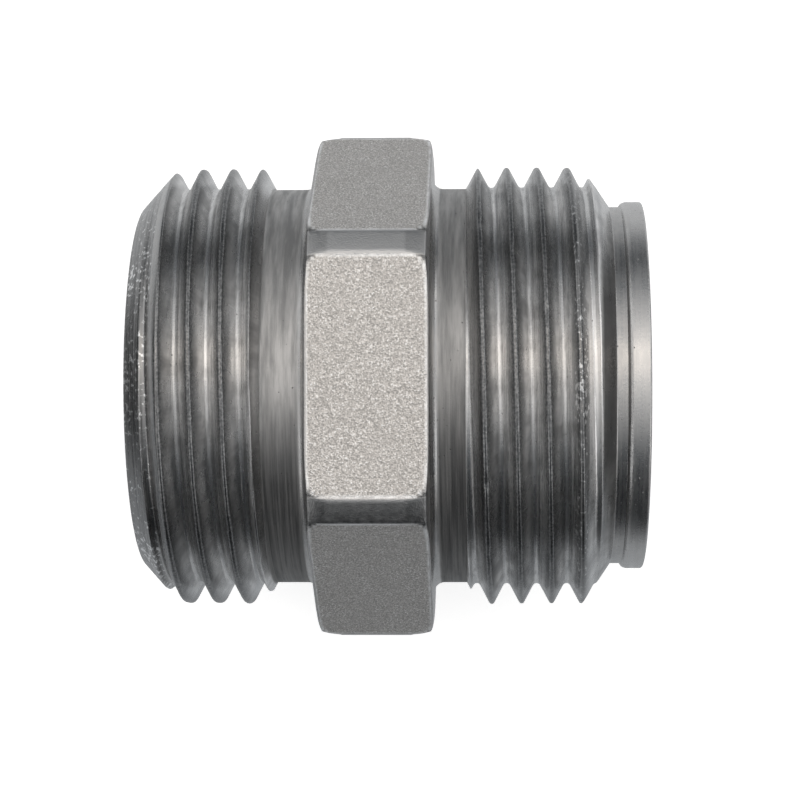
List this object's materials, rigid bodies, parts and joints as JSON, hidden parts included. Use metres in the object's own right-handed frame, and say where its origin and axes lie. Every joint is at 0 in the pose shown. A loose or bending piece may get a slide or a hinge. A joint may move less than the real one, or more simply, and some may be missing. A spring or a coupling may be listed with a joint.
{
  "type": "hex nipple",
  "caption": "Short hex nipple that joins two female pipe threads: a narrow wrench hexagon between two male threads, a through bore, and a smooth nose beyond one thread.",
  "frame": {"origin": "on the bore axis, at the middle of the hexagon's width", "axes": "+X along the bore axis towards the nose; +Z out of one flat of the hexagon, -Z out of the flat that it rests on; +Y towards a corner of the hexagon"},
  "size_m": [0.0301, 0.0304, 0.027],
  "materials": {
    "nickel_plate": "satin nickel plate over brass, fine grain on the flats"
  },
  "bodies": {
    "root": {"nipple_body": "nickel_plate"}
  },
  "joints": []
}
